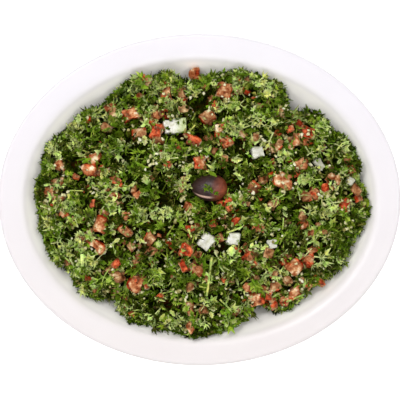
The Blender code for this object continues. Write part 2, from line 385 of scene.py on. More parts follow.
def scatter(name, shapes, places, frames, sizes, tones, material):
    """One piece of many copies. Each shape is points, triangles and a margin value for each point."""
    grid = math.ceil(math.sqrt(len(places)))  # each copy has its own cell of the bake map
    parts, tone, cells = [], [], []
    for number, (shape_points, shape_triangles, shape_margin) in enumerate(shapes):
        mine = np.arange(number, len(places), len(shapes))
        count = len(mine)
        local = shape_points[None] * sizes[mine][:, None, :]
        world = np.einsum("npk,nkj->npj", local, frames[mine]) + places[mine][:, None, :]
        starts = len(shape_points) * np.arange(count)
        triangles = (shape_triangles[None] + starts[:, None, None]).reshape(-1, 3)
        parts.append((world.reshape(-1, 3), triangles, np.tile(shape_margin, count)))
        tone.append(np.repeat(tones[mine], len(shape_points)))
        low, high = shape_points[:, :2].min(0), shape_points[:, :2].max(0)
        inside = 0.1 + 0.8 * (shape_points[:, :2] - low) / (high - low)
        corner = columns(mine % grid, mine // grid)
        cells.append(((corner[:, None] + inside[None]) / grid).reshape(-1, 2))
    points, triangles, margin = joined(parts)
    shades = {"tone": np.concatenate(tone), "margin": margin}
    mesh_piece(name, points, triangles, material, shades, np.concatenate(cells))


def columns(*values):
    return np.stack(values, axis=1)


def full_turn(count):
    """This many angles, evenly round a full turn."""
    return np.linspace(0, 2 * math.pi, count, endpoint=False)


def capped_loft(rings, start, end):
    """A closed solid through rings of equal point count, each end fanned to a middle point."""
    count = len(rings[0])
    points = np.concatenate([*rings, [start, end]])
    first, last = len(points) - 2, len(points) - 1
    step = np.arange(count)
    after = (step + 1) % count
    low = np.arange(len(rings) - 1)[:, None] * count
    a, b, c, d = low + step, low + after, low + count + after, low + count + step
    quads = np.stack([a, b, c, d], axis=-1).reshape(-1, 4)
    top = (len(rings) - 1) * count
    caps = [columns(after, step, np.full(count, first))]
    caps.append(columns(top + step, top + after, np.full(count, last)))
    return points, np.concatenate([quads[:, [0, 1, 2]], quads[:, [0, 2, 3]], *caps])


# ---- the solids as guides


def tree_of(node):
    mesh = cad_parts[node].data
    mesh.calc_loop_triangles()
    return BVHTree.FromPolygons([v.co for v in mesh.vertices], [t.vertices for t in mesh.loop_triangles])


HEAP = tree_of("salad")
WELL = tree_of("dish")
DOWN = Vector((0, 0, -1))


def drop_on(tree, x, y):
    """Height and normal where a plumb line from above meets a solid, or None."""
    place, normal, _, _ = tree.ray_cast(Vector((x, y, 0.2)), DOWN)
    return (place.z, normal) if place else None


def heap_floor(x, y):
    place, _, _, _ = HEAP.ray_cast(Vector((x, y, -0.01)), UP)
    return place.z if place else None


def edge_reach(bearing):
    """How far the heap reaches from the middle at a bearing, in radians."""
    reach = DISH_HALF_LENGTH
    while drop_on(HEAP, reach * math.cos(bearing), reach * math.sin(bearing)) is None:
        reach -= 0.0005
    return reach


# Where the loose edge falls short of the heap's outline, or juts past it:
# bearing and half width in degrees, and how far.
EDGE_STEPS = (
    (8, 4, -0.005), (29, 5, -0.005), (46, 5, -0.006), (54, 4, 0.003), (82, 5, -0.003),
    (98, 6, -0.0065), (111, 4, -0.004), (137, 9, -0.003), (170, 5, -0.004), (-172, 4, 0.003),
    (-150, 5, -0.005), (-137, 4, 0.005), (-131, 3, -0.003), (-72, 4, 0.002), (-61, 5, -0.007),
    (-52, 3, 0.005), (-36, 4, -0.003), (-20, 4, 0.003), (-4, 4, 0.003),
)


def edge_step(bearing):
    """How far the loose edge stands out past the heap's outline at a bearing in radians, or short of it."""
    away = [(math.degrees(bearing) - middle + 180) % 360 - 180 for middle, _, _ in EDGE_STEPS]
    return sum(step * math.exp(-((turn / width) ** 2)) for turn, (_, width, step) in zip(away, EDGE_STEPS))


def least_nearby(values, steps):
    """A closed row, each value lowered to the ones this many steps to either side."""
    row = values[:-1]
    least = np.minimum(row, np.minimum(np.roll(row, steps), np.roll(row, -steps)))
    return np.append(least, least[0])


BEARINGS = np.linspace(-math.pi, math.pi, 241)
EDGE_SHIFTS = np.array([edge_step(b) for b in BEARINGS])
REACHES = least_nearby(np.array([edge_reach(b) for b in BEARINGS]), 2) + np.minimum(EDGE_SHIFTS, 0)


def inside_edge(places, inset):
    """Which places lie at least this far inside the loose heap's outline."""
    return np.hypot(places[:, 0], places[:, 1]) < reach_at(places) - inset


def reach_at(places):
    """How far the loose heap reaches from the middle in the direction of each place."""
    return np.interp(np.arctan2(places[:, 1], places[:, 0]), BEARINGS, REACHES)


def hold_inside(places, normals, inset):
    """Pulls places nearer the heap's outline than their inset back over the heap."""
    reach = reach_at(places) - inset
    out = np.hypot(places[:, 0], places[:, 1])
    for i in np.flatnonzero(out > reach):
        x, y = places[i, :2] * reach[i] / out[i]
        height, normal = drop_on(HEAP, x, y)
        places[i] = x, y, height
        normals[i] = normal
    return places, normals


TOPPINGS = sorted(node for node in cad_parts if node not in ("dish", "salad"))


def topping_ovals():
    """Middle and half sizes in plan of each seated piece."""
    ovals = []
    for node in TOPPINGS:
        low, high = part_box(node)
        ovals.append(((low.x + high.x) / 2, (low.y + high.y) / 2, (high.x - low.x) / 2, (high.y - low.y) / 2))
    return np.array(ovals)


OVALS = topping_ovals()
ONION_ROOM = 0.0014  # loose bits keep this much further off the onion, which shows whole
ROOM = np.array([[ONION_ROOM if node.startswith("onion") else 0.0] for node in TOPPINGS])


def clear_of_toppings(places, margin):
    """Which places lie outside every seated piece, grown by a margin."""
    away = places[:, None, :2] - OVALS[None, :, :2]
    reach = away / (OVALS[:, 2:] + margin + ROOM)
    return (np.linalg.norm(reach, axis=2) > 1).all(axis=1)


PIECES = [tree_of(node) for node in TOPPINGS]
EDGE_WIDTH = 0.007
EDGE_SHARE = 1.5  # the heap's edge gets this many times the bits of its middle


def heap_samples(count):
    """Random points and normals on the heap's upper surface, even over its area but for the edge."""
    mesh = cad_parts["salad"].data
    mesh.calc_loop_triangles()
    corners = np.array([[mesh.vertices[i].co for i in t.vertices] for t in mesh.loop_triangles])
    crosses = np.cross(corners[:, 1] - corners[:, 0], corners[:, 2] - corners[:, 0])
    areas = np.linalg.norm(crosses, axis=1) / 2
    normals = crosses / (2 * areas[:, None] + 1e-12)
    middles = corners.mean(axis=1)
    top = np.where(normals[:, 2] > 0.1, areas, 0) * np.where(inside_edge(middles, EDGE_WIDTH), 1, EDGE_SHARE)
    chosen = rng.choice(len(areas), count, p=top / top.sum())
    share = rng.random((count, 2))
    folded = share.sum(1) > 1
    share[folded] = 1 - share[folded]
    a, b, c = corners[chosen, 0], corners[chosen, 1], corners[chosen, 2]
    return a + share[:, :1] * (b - a) + share[:, 1:] * (c - a), normals[chosen]


# ---- the dish


def well_drop(inset):
    share = min(inset / WALL_RUN, 1)
    return (WELL_TOP - WELL_FLOOR) * (1 - (1 - share) ** WALL_CURVE)


def well_slope(inset):
    share = min(inset / WALL_RUN, 1)
    return math.atan(WALL_CURVE * (WELL_TOP - WELL_FLOOR) / WALL_RUN * (1 - share) ** (WALL_CURVE - 1))


def bend(first, corner, last, steps):
    """A rounded corner between two points, as a quadratic curve."""
    shares = [step / steps for step in range(steps + 1)]
    return [
        tuple((1 - t) ** 2 * a + 2 * t * (1 - t) * b + t * t * c for a, b, c in zip(first, corner, last))
        for t in shares
    ]


def dish_profile():
    """Insets from the outer edge and heights, from under the foot round the rim to the floor."""
    inside = FOOT_INSET + FOOT_WIDTH
    foot = bend((inside + 0.003, FOOT_HEIGHT), (inside + 0.001, FOOT_HEIGHT), (inside + 0.0005, 0.0006), 3)
    foot += bend((inside - 0.0003, 0), (FOOT_INSET + 0.001, 0), (FOOT_INSET + 0.0002, 0.0010), 4)
    outer = []
    for step in range(25):
        inset = WELL_CORNER + (FOOT_INSET - RIM_WIDTH - WELL_CORNER) * (1 - step / 24)
        slope = well_slope(inset)
        across = RIM_WIDTH + inset - WALL_THICKNESS * math.sin(slope)
        outer.append((across, WELL_TOP - well_drop(inset) - WALL_THICKNESS * math.cos(slope)))
    radius = RIM_THICKNESS / 2
    wall_end, below = outer[-1][0], DISH_HEIGHT - RIM_THICKNESS
    under = bend(outer[-1], (wall_end - 0.0022, below), (wall_end - 0.005, below), 4)[1:]
    edge = []
    for step in range(11):
        turn = math.pi * (step / 10 - 0.5)
        edge.append((radius - radius * math.cos(turn), DISH_HEIGHT - radius + radius * math.sin(turn)))
    rim = [(RIM_WIDTH * share, DISH_HEIGHT - RIM_FALL * share) for share in (0.25, 0.4, 0.55)]
    corner = bend(
        (RIM_WIDTH - WELL_CORNER, DISH_HEIGHT - RIM_FALL * (1 - WELL_CORNER / RIM_WIDTH)),
        (RIM_WIDTH, WELL_TOP),
        (RIM_WIDTH + WELL_CORNER / 2, WELL_TOP - well_drop(WELL_CORNER / 2)),
        8,
    )
    wall = []
    for step in range(1, 33):
        inset = WELL_CORNER / 2 + (WALL_RUN - WELL_CORNER / 2) * step / 32
        wall.append((RIM_WIDTH + inset, WELL_TOP - well_drop(inset)))
    return foot + outer + under + edge + rim + corner + wall


def make_dish():
    turns = full_turn(192)
    rings = []
    for inset, height in dish_profile():
        across, deep = DISH_HALF_LENGTH - inset, DISH_HALF_WIDTH - inset
        x, y = across * np.cos(turns), deep * np.sin(turns)
        rings.append(columns(x, y, np.full(len(turns), height)))
    points, triangles = capped_loft(rings, (0, 0, FOOT_HEIGHT), (0, 0, WELL_FLOOR))
    dish = mesh_piece("glazed_dish", points, triangles, glaze_finish())
    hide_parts("dish")


# ---- the heap


def clump(x, y):
    """How far the loose surface rises in a clump, about -1 to 1."""
    wide = noise.noise(Vector((x, y, 0.013)) / CLUMP_SIZE)
    fine = noise.noise(Vector((y, x, 0.071)) / (0.45 * CLUMP_SIZE))
    return 1.7 * wide + 0.7 * fine


def make_core():
    """A smaller, dark, rough heap that closes the gaps between the loose bits."""
    bearings = full_turn(200)
    reaches = [edge_reach(b) - CORE_INSET + min(edge_step(b), 0) for b in bearings]
    top, bed = [], []
    for share in np.linspace(0.04, 1, 44) ** 0.8:
        upper, lower = [], []
        for bearing, reach in zip(bearings, reaches):
            x, y = share * reach * math.cos(bearing), share * reach * math.sin(bearing)
            low = heap_floor(x, y) + 0.0001
            rough = CORE_RELIEF * noise.fractal(Vector((x, y, 0)) * 300, 1.0, 2.0, 3)
            high = drop_on(HEAP, x, y)[0] - CORE_DEPTH + rough + 0.6 * CLUMP_RISE * clump(x, y)
            upper.append((x, y, max(high, low + 0.0002)))
            lower.append((x, y, low))
        top.append(np.array(upper))
        bed.append(np.array(lower))
    middle_top, middle_bed = top[0].mean(0), bed[0].mean(0)
    points, triangles = capped_loft(bed + top[::-1], middle_bed, middle_top)
    core = mesh_piece("salad_core", points, triangles, core_finish())
    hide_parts("salad")


def curly_bit(teeth, span, cup, ruffle):
    """A closed frilly bit of leaf of radius 1: a cupped fan whose toothed margin waves up and down."""
    count = 2 * teeth + 1
    angles = math.radians(span) * (np.arange(count) / (count - 1) - 0.5)
    angles += rng.uniform(-0.06, 0.06, count)
    reach = np.where(np.arange(count) % 2, 1.0, 0.5) * rng.uniform(0.78, 1.15, count)
    wave = ruffle * np.sin(2.1 * np.arange(count) + rng.uniform(0, 6)) * rng.uniform(0.5, 1.3, count)
    rim = columns(reach * np.cos(angles), reach * np.sin(angles), cup * reach**2 + wave)
    inner = rim * (0.5, 0.5, 0.32)
    thick = np.array([0, 0, 0.045])
    ends = np.zeros((count, 1))
    ends[1:-1] = 1
    upper, lower = inner + ends * thick, inner - ends * thick
    points = np.concatenate([rim, upper, lower, [[0, 0, 0]]])
    tip = len(points) - 1
    k = np.arange(count - 1)
    over, under, tips = count + k, 2 * count + k, np.full(count - 1, tip)
    faces = [(tips, over, over + 1), (over, k, k + 1), (over, k + 1, over + 1)]
    faces += [(tips, under + 1, under), (under, k + 1, k), (under, under + 1, k + 1)]
    triangles = np.concatenate([columns(*face) for face in faces])
    shared = {2 * count: count, 3 * count - 1: 2 * count - 1}
    for old, new in shared.items():
        triangles[triangles == old] = new
    margin = np.concatenate([np.ones(count), np.zeros(2 * count), [0.15]])
    return points, triangles, margin


def leaflet(width, fold, curl, teeth=3):
    """A closed toothed leaflet of length 1, folded along its rib and curled."""
    stations = 2 * teeth + 1
    along = np.linspace(0, 1, stations + 2)
    spread = width * np.sin(np.pi * along**0.8) ** 0.8
    spread *= np.where(np.arange(len(along)) % 2, 1.0, 0.6) * rng.uniform(0.85, 1.1, len(along))
    shift = np.where(np.arange(len(along)) % 2, 0.05, 0.0)
    bent = curl * along
    across = np.sin(bent) / max(curl, 0.01)
    rise = (1 - np.cos(bent)) / max(curl, 0.01)
    rib = columns(across, np.zeros(len(along)), rise) - (0.5, 0, 0)
    body, shift, spread = rib[1:-1], shift[1:-1], spread[1:-1]
    left = body + columns(shift, spread, fold * spread)
    right = body + columns(shift, -spread, fold * spread)
    thick = np.array([0, 0, 0.028])
    points = np.concatenate([rib[:1], rib[-1:], body + thick, body - thick, left, right])
    n = stations
    top, low, *sides = [[0, *range(2 + row * n, 2 + (row + 1) * n), 1] for row in range(4)]
    triangles = []
    for row, flip in ((top, False), (low, True)):
        for side, mirror in zip(sides, (False, True)):
            for i in range(n + 1):
                quad = [(row[i], row[i + 1], side[i + 1]), (row[i], side[i + 1], side[i])]
                for triangle in quad:
                    if len(set(triangle)) == 3:
                        triangles.append(triangle if flip == mirror else triangle[::-1])
    margin = np.concatenate([[0.3, 1], np.zeros(2 * n), np.ones(2 * n)])
    return points, np.array(triangles), margin


def turned(points, roll, pitch, yaw):
    """Points turned about X, then Y, then Z."""
    spin = Matrix.Rotation(yaw, 3, "Z") @ Matrix.Rotation(pitch, 3, "Y") @ Matrix.Rotation(roll, 3, "X")
    return points @ np.array(spin).T


def twig(start, end, thick):
    """A thin three-sided stalk between two points."""
    start, end = np.array(start), np.array(end)
    aim = (end - start) / np.linalg.norm(end - start)
    side = np.cross(aim, (0, 0, 1))
    side /= np.linalg.norm(side) + 1e-9
    up = np.cross(side, aim)
    ring = np.array([side * math.cos(t) + up * math.sin(t) for t in (0.5, 2.6, 4.7)]) * thick
    points = np.concatenate([start + ring, end + 0.7 * ring])
    triangles = [(0, 2, 1), (3, 4, 5)]
    for k in range(3):
        after = (k + 1) % 3
        triangles += [(k, after, 3 + after), (k, 3 + after, 3 + k)]
    return points, np.array(triangles), np.full(6, 1.0)


def sprig(arms, teeth, lobe, spans):
    """A chopped sprig: a stalk that forks to curled, frilly lobes, about 1 long from its middle."""
    fork = np.array([-0.15, 0, 0.05])
    parts = [twig((-0.8, rng.uniform(-0.2, 0.2), -0.15), fork, 0.06)]
    for arm in range(arms):
        yaw = (arm - (arms - 1) / 2) * math.radians(rng.uniform(50, 75))
        reach = rng.uniform(0.2, 0.42)
        tip = fork + np.array([reach * math.cos(yaw), reach * math.sin(yaw), rng.uniform(0.05, 0.25)])
        parts.append(twig(fork, tip, 0.045))
        span, cup = rng.uniform(*spans), rng.uniform(0.1, 0.6)
        points, triangles, margin = curly_bit(teeth, span, cup, rng.uniform(0.15, 0.35))
        points = points * lobe * rng.uniform(0.8, 1.2)
        points = turned(points, rng.uniform(-0.9, 0.9), rng.uniform(-0.7, 0.5), yaw)
        parts.append((points + tip, triangles, margin))
    return joined(parts)


def tuft(lobes):
    """A curly head: frilly lobes on short stalks that spread from one point, about 1 in radius."""
    parts = []
    for lobe in range(lobes):
        yaw = 2 * math.pi * (lobe + rng.uniform(-0.3, 0.3)) / lobes
        reach = rng.uniform(0.25, 0.6)
        tip = np.array([reach * math.cos(yaw), reach * math.sin(yaw), rng.uniform(0.1, 0.35)])
        parts.append(twig((0, 0, -0.1), tip, 0.04))
        points, triangles, margin = curly_bits(1, 4, (160, 250), (0.2, 0.6), (0.15, 0.3))[0]
        points = turned(points * rng.uniform(0.34, 0.5), rng.uniform(-0.7, 0.7), rng.uniform(-0.5, 0.4), yaw)
        parts.append((points + tip, triangles, margin))
    return joined(parts)


def joined(parts):
    """Several shapes of points, triangles and a value for each point as one."""
    points, triangles, margins = zip(*parts)
    used = np.cumsum([0, *map(len, points)])
    triangles = [corners + start for corners, start in zip(triangles, used)]
    return np.concatenate(points), np.concatenate(triangles), np.concatenate(margins)


def drawn(*ranges):
    """A random value from each range."""
    return [rng.uniform(*limits) for limits in ranges]


def curly_bits(count, teeth, span, cup, ruffle):
    return [curly_bit(teeth, *drawn(span, cup, ruffle)) for _ in range(count)]


def leaflets(count, width, fold, curl, teeth=3):
    return [leaflet(*drawn(width, fold, curl), teeth) for _ in range(count)]


def sprigs(count, arms, teeth, lobe, spans):
    return [sprig(arms, teeth, rng.uniform(*lobe), spans) for _ in range(count)]


def stem_shape(bow):
    """A closed bent stalk of length 1 and radius 1: its radius is scaled apart from its length."""
    turns = full_turn(6)
    rings = []
    for along in np.linspace(-0.5, 0.5, 6):
        lift = bow * (0.25 - along * along)
        thin = 1 - 0.25 * (along + 0.5)
        rings.append(columns(np.full(6, along), thin * np.cos(turns), thin * np.sin(turns) + lift))
    points, triangles = capped_loft(rings, rings[0].mean(0), rings[-1].mean(0))
    return points, triangles, np.full(len(points), 0.2)


def grain_shape():
    """A cracked grain of radius 1, uneven, from an icosphere."""
    shape = bmesh.new()
    bmesh.ops.create_icosphere(shape, subdivisions=2, radius=1)
    stray = Vector(rng.uniform(-9, 9, 3))
    for vertex in shape.verts:
        vertex.co *= 1 + 0.6 * noise.noise(vertex.co * 1.2 + stray)
    bmesh.ops.triangulate(shape, faces=shape.faces[:])
    points = np.array([v.co for v in shape.verts])
    triangles = np.array([[v.index for v in face.verts] for face in shape.faces])
    shape.free()
    return points, triangles, np.zeros(len(points))


def bit_sizes(length, across, through=None):
    """Each bit's size along, across and through: the last two are shares of its length from these ranges."""
    count = len(length)
    wide = rng.uniform(*across, count)
    deep = rng.uniform(*through, count) if through else np.ones(count)
    return length[:, None] * columns(np.ones(count), wide, deep)


def drift_over(places, axes, third, size):
    """Noise of this size over places, read with these two of their axes and this third."""
    return np.array([noise.noise(Vector((*place, third)) / size) for place in places[:, axes]])


def bit_tones(mean, spread, count):
    return np.clip(rng.normal(mean, spread, count), 0, 1)


def clear_of_wall(places, reach):
    """Lifts points so that bits of this reach don't go through the dish."""
    for i, (x, y, z) in enumerate(places):
        wall = drop_on(WELL, x, y)
        if wall and z < wall[0] + reach[i]:
            places[i, 2] = wall[0] + reach[i]
    return places


EVERYWHERE = -9.0  # a clump value below all others


def loose_places(count, depth, margin, hollow=EVERYWHERE, inset=(0.001, 0.003)):
    """Places in the loose surface, which rises in clumps. Those lower than the hollow's value stay bare."""
    places, normals = heap_samples(count)
    places, normals = hold_inside(places, normals, rng.uniform(*inset, count))
    rise = np.array([clump(x, y) for x, y, _ in places])
    keep = clear_of_toppings(places, margin) & (rise > hollow)
    places, normals, rise = places[keep], normals[keep], rise[keep]
    off = rng.uniform(*depth, len(places)) + CLUMP_RISE * rise
    return places + normals * off[:, None], normals, rise


# Leaves darken and lighten in patches of these sizes, and a clump's top is paler by painted light, its
# hollows darker by painted shade.
WIDE_PATCH = 0.014
FINE_PATCH = 0.0045
TONE_BY_PATCH = 0.5
PAINTED_LIGHT_BY_RISE = 0.36


def strew(name, shapes, material, count, depth, size, squash, spread, tone, margin, hollow=EVERYWHERE):
    """Scatters bits over the heap. depth, size, squash and tone are ranges, and margin clears the pieces."""
    places, normals, rise = loose_places(count, depth, margin, hollow, (0.5 * size[0], size[1]))
    count = len(places)
    length = rng.uniform(*size, count)
    sizes = bit_sizes(length, squash, (0.8, 1.2))
    places = clear_of_wall(places, 0.3 * length)
    patch = 0.5 * drift_over(places, [0, 1], 0.2, WIDE_PATCH)
    patch += 1.9 * drift_over(places, [1, 0], 0.5, FINE_PATCH)
    tones = rng.normal((tone[0] + tone[1]) / 2, (tone[1] - tone[0]) / 2.6, count)
    # Painted light and shade: bits higher in a clump get lighter tones.
    tones += PAINTED_LIGHT_BY_RISE * rise + TONE_BY_PATCH * patch
    scatter(name, shapes, places, spin_frames(normals, spread), sizes, np.clip(tones, 0, 1), material)


def make_leaves():
    dull = leaf_finish("parsley_dull", 0.1, 0.1)
    low = leaf_finish("parsley_low", 0.2, 0.3)
    leaf = leaf_finish("parsley_leaf", 0.75, 0.75)
    small = curly_bits(14, 3, (110, 200), (0.1, 0.5), (0.1, 0.3))
    forked = sprigs(16, 3, 3, (0.48, 0.66), (90, 200))
    shreds = leaflets(14, (0.17, 0.30), (-0.3, 0.7), (0.1, 1.4), 2)
    toothed = leaflets(12, (0.30, 0.44), (0.1, 0.7), (0.2, 1.6))
    stars = curly_bits(10, 5, (200, 290), (0.05, 0.35), (0.04, 0.14))
    heads = [tuft(6) for _ in range(8)]
    # Name, shapes, finish, count, depth, size, squash, spread, tone, margin and the lowest hollow filled.
    # The low layers, parsley_deep and parsley_sprigs_low, have darker tones as painted shade.
    for row in (
        ("parsley_deep", small, dull, 2900, (-0.0062, -0.0034), (0.0032, 0.0052), (0.6, 1.1),
         0.5, (-0.2, 0.10), -0.001),
        ("parsley_sprigs_low", forked, low, 1050, (-0.0044, -0.0024), (0.0048, 0.0072), (0.8, 1.1),
         0.6, (-0.28, 0.32), 0.0002, -0.7),
        ("parsley_sprigs", forked, leaf, 1250, (-0.0016, 0.0012), (0.0056, 0.0088), (0.8, 1.1),
         0.7, (-0.05, 1.0), 0.0004, -0.35),
        ("parsley_bits", small, leaf, 950, (-0.0022, 0.0012), (0.0020, 0.0038), (0.5, 1.1),
         0.9, (0.15, 0.95), -0.0009, -0.5),
        ("parsley_shreds", shreds, low, 1000, (-0.0026, 0.0008), (0.0036, 0.0076), (0.8, 1.5),
         0.6, (-0.08, 0.78), -0.0004, -0.9),
        ("parsley_leaflets", toothed, leaf, 900, (-0.0020, 0.0012), (0.0040, 0.0075), (0.8, 1.2),
         0.6, (0.15, 1.0), 0.0004, -0.4),
        ("parsley_heads", heads, leaf, 400, (-0.0010, 0.0014), (0.0048, 0.0078), (0.8, 1.1),
         0.45, (0.1, 1.15), 0.0018, -0.1),
        ("parsley_leaves", stars, leaf, 380, (-0.0012, 0.0012), (0.0040, 0.0064), (0.7, 1.1),
         0.5, (0.1, 1.0), 0.0010, -0.4),
    ):
        strew(*row)


def make_fringe():
    """Bits that lie on the wall along the heap's outline and point outwards."""
    count = 520
    bearings = rng.uniform(-math.pi, math.pi, count)
    jut = np.maximum(np.interp(bearings, BEARINGS, EDGE_SHIFTS), 0)
    reach = np.interp(bearings, BEARINGS, REACHES) + rng.uniform(-0.0046, -0.0008, count)
    reach += jut * rng.uniform(0.2, 1.2, count)
    length = rng.uniform(0.0032, 0.0062, count)
    places, frames = [], []
    for bearing, out in zip(bearings, reach):
        x, y = out * math.cos(bearing), out * math.sin(bearing)
        on_wall = drop_on(WELL, x, y)
        on_heap = drop_on(HEAP, x, y)
        height = max(on_wall[0] + 0.0014, on_heap[0] - 0.0004 if on_heap else 0)
        places.append((x, y, height))
        normal = on_wall[1] + Vector(rng.normal(0, 0.3, 3))
        away = bearing + rng.normal(0, 0.7)
        side = normal.cross(Vector((math.cos(away), math.sin(away), 0))).normalized()
        along = side.cross(normal).normalized()
        frames.append((along, side, along.cross(side)))
    places = clear_of_wall(np.array(places), 0.2 * length)
    sizes = bit_sizes(length, (0.7, 1.1), (0.6, 1))
    shapes = sprigs(10, 2, 4, (0.40, 0.55), (140, 230)) + leaflets(6, (0.22, 0.36), (0.1, 0.5), (0.2, 1.0))
    # Painted light: the fringe's tones are set high against the shade at the heap's edge.
    tones = bit_tones(0.68, 0.25, count)
    leaf = leaf_finish("parsley_fringe", 0.5, 0.5)
    scatter("parsley_edge", shapes, places, np.array(frames), sizes, tones, leaf)


def make_skirt():
    """Bits that cover the heap's steep foot, from the loose edge down to the dish."""
    count = 1500
    bearings = rng.uniform(-math.pi, math.pi, count)
    share = rng.random(count)
    places, normals = [], []
    for bearing, up in zip(bearings, share):
        away = Vector((math.cos(bearing), math.sin(bearing), 0))
        foot = away * (edge_reach(bearing) - CORE_INSET + min(edge_step(bearing), 0))
        low = drop_on(WELL, foot.x, foot.y)[0] + 0.0008
        high = drop_on(HEAP, foot.x, foot.y)[0] - CORE_DEPTH + 0.0022
        out = foot + away * rng.uniform(-0.0002, 0.0012)
        places.append((out.x, out.y, low + up * max(high - low, 0)))
        normals.append(away + 0.5 * UP)
    places = np.array(places)
    length = rng.uniform(0.0030, 0.0050, count)
    places = clear_of_wall(places, 0.2 * length)
    sizes = bit_sizes(length, (0.7, 1.1), (0.6, 1))
    shapes = curly_bits(10, 3, (120, 210), (0.1, 0.5), (0.1, 0.3)) + sprigs(8, 2, 3, (0.50, 0.66), (120, 210))
    # Painted shade: the heap's steep foot gets darker tones than its top.
    tones = bit_tones(0.45, 0.28, count)
    leaf = leaf_finish("parsley_skirt", 0.3, 0.3)
    frames = spin_frames(np.array([normal.normalized() for normal in normals]), 0.5)
    scatter("parsley_foot", shapes, places, frames, sizes, tones, leaf)


# Larger bits of leaf on the olive and the first onion piece.
BIT_LENGTH = 0.0036
BITS = (
    (0.0044, 0.0074), (0.0060, 0.0066), (0.0054, 0.0086), (0.0064, 0.0052), (0.0100, 0.0044),
    (-0.0195, 0.0500), (-0.0130, 0.0500), (-0.0106, 0.0480),
)


def make_bits_on_pieces():
    """Bits of leaf that lie over the edges of the seated pieces."""
    places, normals = laid_on_pieces([*BITS, *beside_toppings(420, 0.14, ("tomato", "onion"))], 0.0007)
    count = len(places)
    length = rng.uniform(0.0016, 0.0034, count)
    length[: len(BITS)] = BIT_LENGTH
    sizes = bit_sizes(length, (0.5, 1.0))
    shapes = curly_bits(10, 3, (90, 180), (0.0, 0.3), (0.1, 0.25))
    tones = bit_tones(0.6, 0.25, count)
    tones[: len(BITS)] = 0.55
    leaf = leaf_finish("parsley_bit", 0.45, 0.5)
    scatter("parsley_on_pieces", shapes, places, spin_frames(normals, 0.35), sizes, tones, leaf)


# Longer stalks seen on the heap: start, end, radius and tone.
STALKS = (
    ((0.0078, -0.0372), (0.0046, -0.0619), 0.0009, 0.8),
    ((0.0170, -0.0215), (0.0270, -0.0178), 0.0007, 0.8),
    ((0.0535, -0.0120), (0.0530, -0.0195), 0.0005, 0.7),
    ((-0.0753, -0.0350), (-0.0750, -0.0430), 0.0015, 1.0),
    ((-0.0895, -0.0350), (-0.0830, -0.0405), 0.0006, 0.7),
    ((0.0560, -0.0660), (0.0680, -0.0610), 0.0006, 0.8),
    ((0.0255, 0.0850), (0.0345, 0.0790), 0.0005, 0.6),
    ((0.0130, -0.0640), (0.0190, -0.0700), 0.0006, 0.8),
)


def make_stems():
    shapes = [stem_shape(rng.uniform(-3, 3)) for _ in range(8)]
    places, normals, _ = loose_places(330, (-0.0012, 0.0014), 0.0005)
    count = len(places)
    length = rng.uniform(0.0035, 0.009, count)
    radius = rng.uniform(0.00032, 0.0007, count)
    frames = spin_frames(normals, 0.25)
    tones = rng.uniform(0.2, 0.8, count)
    for i, (start, end, thick, tones[i]) in enumerate(STALKS):
        middle = (np.array(start) + end) / 2
        height, normal = drop_on(HEAP, *middle)
        along = np.array([*(np.array(end) - start), 0])
        length[i], radius[i] = np.linalg.norm(along), thick
        along /= length[i]
        facing = np.cross(along, np.cross(normal, along))
        facing /= np.linalg.norm(facing)
        places[i] = *middle, height + 0.0046
        frames[i] = along, np.cross(facing, along), facing
    places = clear_of_wall(places, 0.15 * length)
    stalk = leaf_finish("parsley_stalk", 0.4, 0.3, STALK_STOPS)
    sizes = columns(length, radius, radius)
    scatter("parsley_stems", shapes, places, frames, sizes, tones, stalk)


def beside_toppings(count, spread, kinds=("tomato",)):
    """Places about the edges of the seated pieces of these kinds."""
    chosen = OVALS[[n.startswith(kinds) for n in TOPPINGS]]
    chosen = chosen[rng.integers(0, len(chosen), count)]
    turns = rng.uniform(0, 2 * math.pi, count)
    reach = 1 + rng.normal(0, spread, count)
    around = columns(np.cos(turns), np.sin(turns))
    spots = chosen[:, :2] + reach[:, None] * chosen[:, 2:] * around
    return spots[inside_edge(spots, 0.001)]


def laid_on_pieces(spots, lift):
    """Places this far above the seated piece or the heap under each spot, with the normals there."""
    places, normals = [], []
    for x, y in spots:
        met = [top for top in (drop_on(tree, x, y) for tree in (HEAP, *PIECES)) if top]
        if met:
            height, normal = max(met, key=lambda top: top[0])
            places.append((x, y, height + lift))
            normals.append(normal)
    return np.array(places), np.array(normals)


def make_grains():
    """Grains in clusters and alone, and some stuck on the seated pieces and at their edges."""
    middles, middle_normals, _ = loose_places(190, (-0.0010, 0.0014), -0.003)
    counts = rng.integers(3, 9, len(middles))
    spots = np.repeat(middles, counts, axis=0) + rng.normal(size=(counts.sum(), 3)) * (0.0022, 0.0022, 0.0006)
    within = inside_edge(spots, 0.0015)
    spots, spot_normals = spots[within], np.repeat(middle_normals, counts, axis=0)[within]
    alone, alone_normals, _ = loose_places(250, (-0.0014, 0.0010), -0.001)
    stuck, stuck_normals = laid_on_pieces(beside_toppings(190, 0.45), 0.0004)
    places = np.concatenate([spots, alone, stuck])
    normals = np.concatenate([spot_normals, alone_normals, stuck_normals])
    count = len(places)
    long_side = rng.uniform(0.0008, 0.00145, count)
    sizes = bit_sizes(long_side, (0.6, 0.9), (0.5, 0.8))
    places = clear_of_wall(places, 0.9 * long_side)
    shapes = [grain_shape() for _ in range(8)]
    frames = spin_frames(normals, 1.0)
    scatter("bulgur_grains", shapes, places, frames, sizes, rng.random(count), grain_finish())


# ---- toppings


